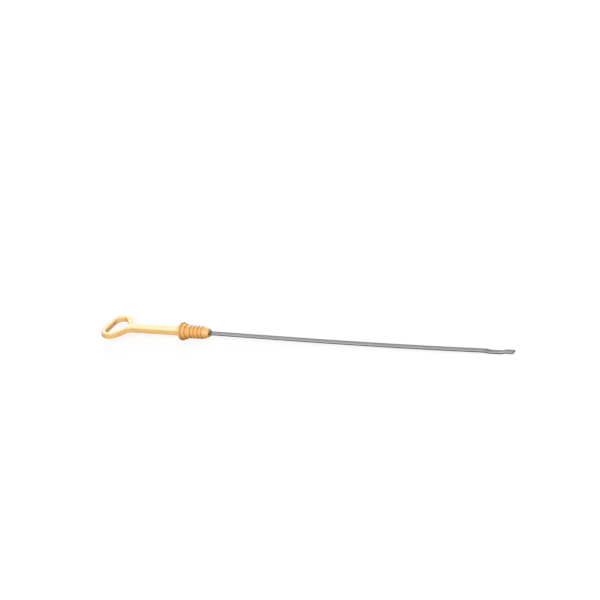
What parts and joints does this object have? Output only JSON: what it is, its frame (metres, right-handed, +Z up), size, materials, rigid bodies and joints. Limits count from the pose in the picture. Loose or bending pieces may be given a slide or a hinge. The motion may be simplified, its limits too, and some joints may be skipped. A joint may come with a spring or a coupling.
{
  "type": "engine oil dipstick",
  "caption": "Flat steel dipstick blade with a joggled measuring zone, in a moulded plastic finger loop handle with a flange and a ribbed tube plug.",
  "frame": {"origin": "centre of the seat, the face of the collar that closes the mouth of the tube", "axes": "+Z up as the dipstick lies at rest, +X along the stick towards the tip of the blade"},
  "size_m": [0.4989, 0.0442, 0.02],
  "materials": {
    "plastic": "moulded, slightly glossy yellow-orange nylon",
    "steel": "rolled spring steel, dull grey"
  },
  "bodies": {
    "root": {"handle": "plastic", "blade": "steel"}
  },
  "joints": []
}
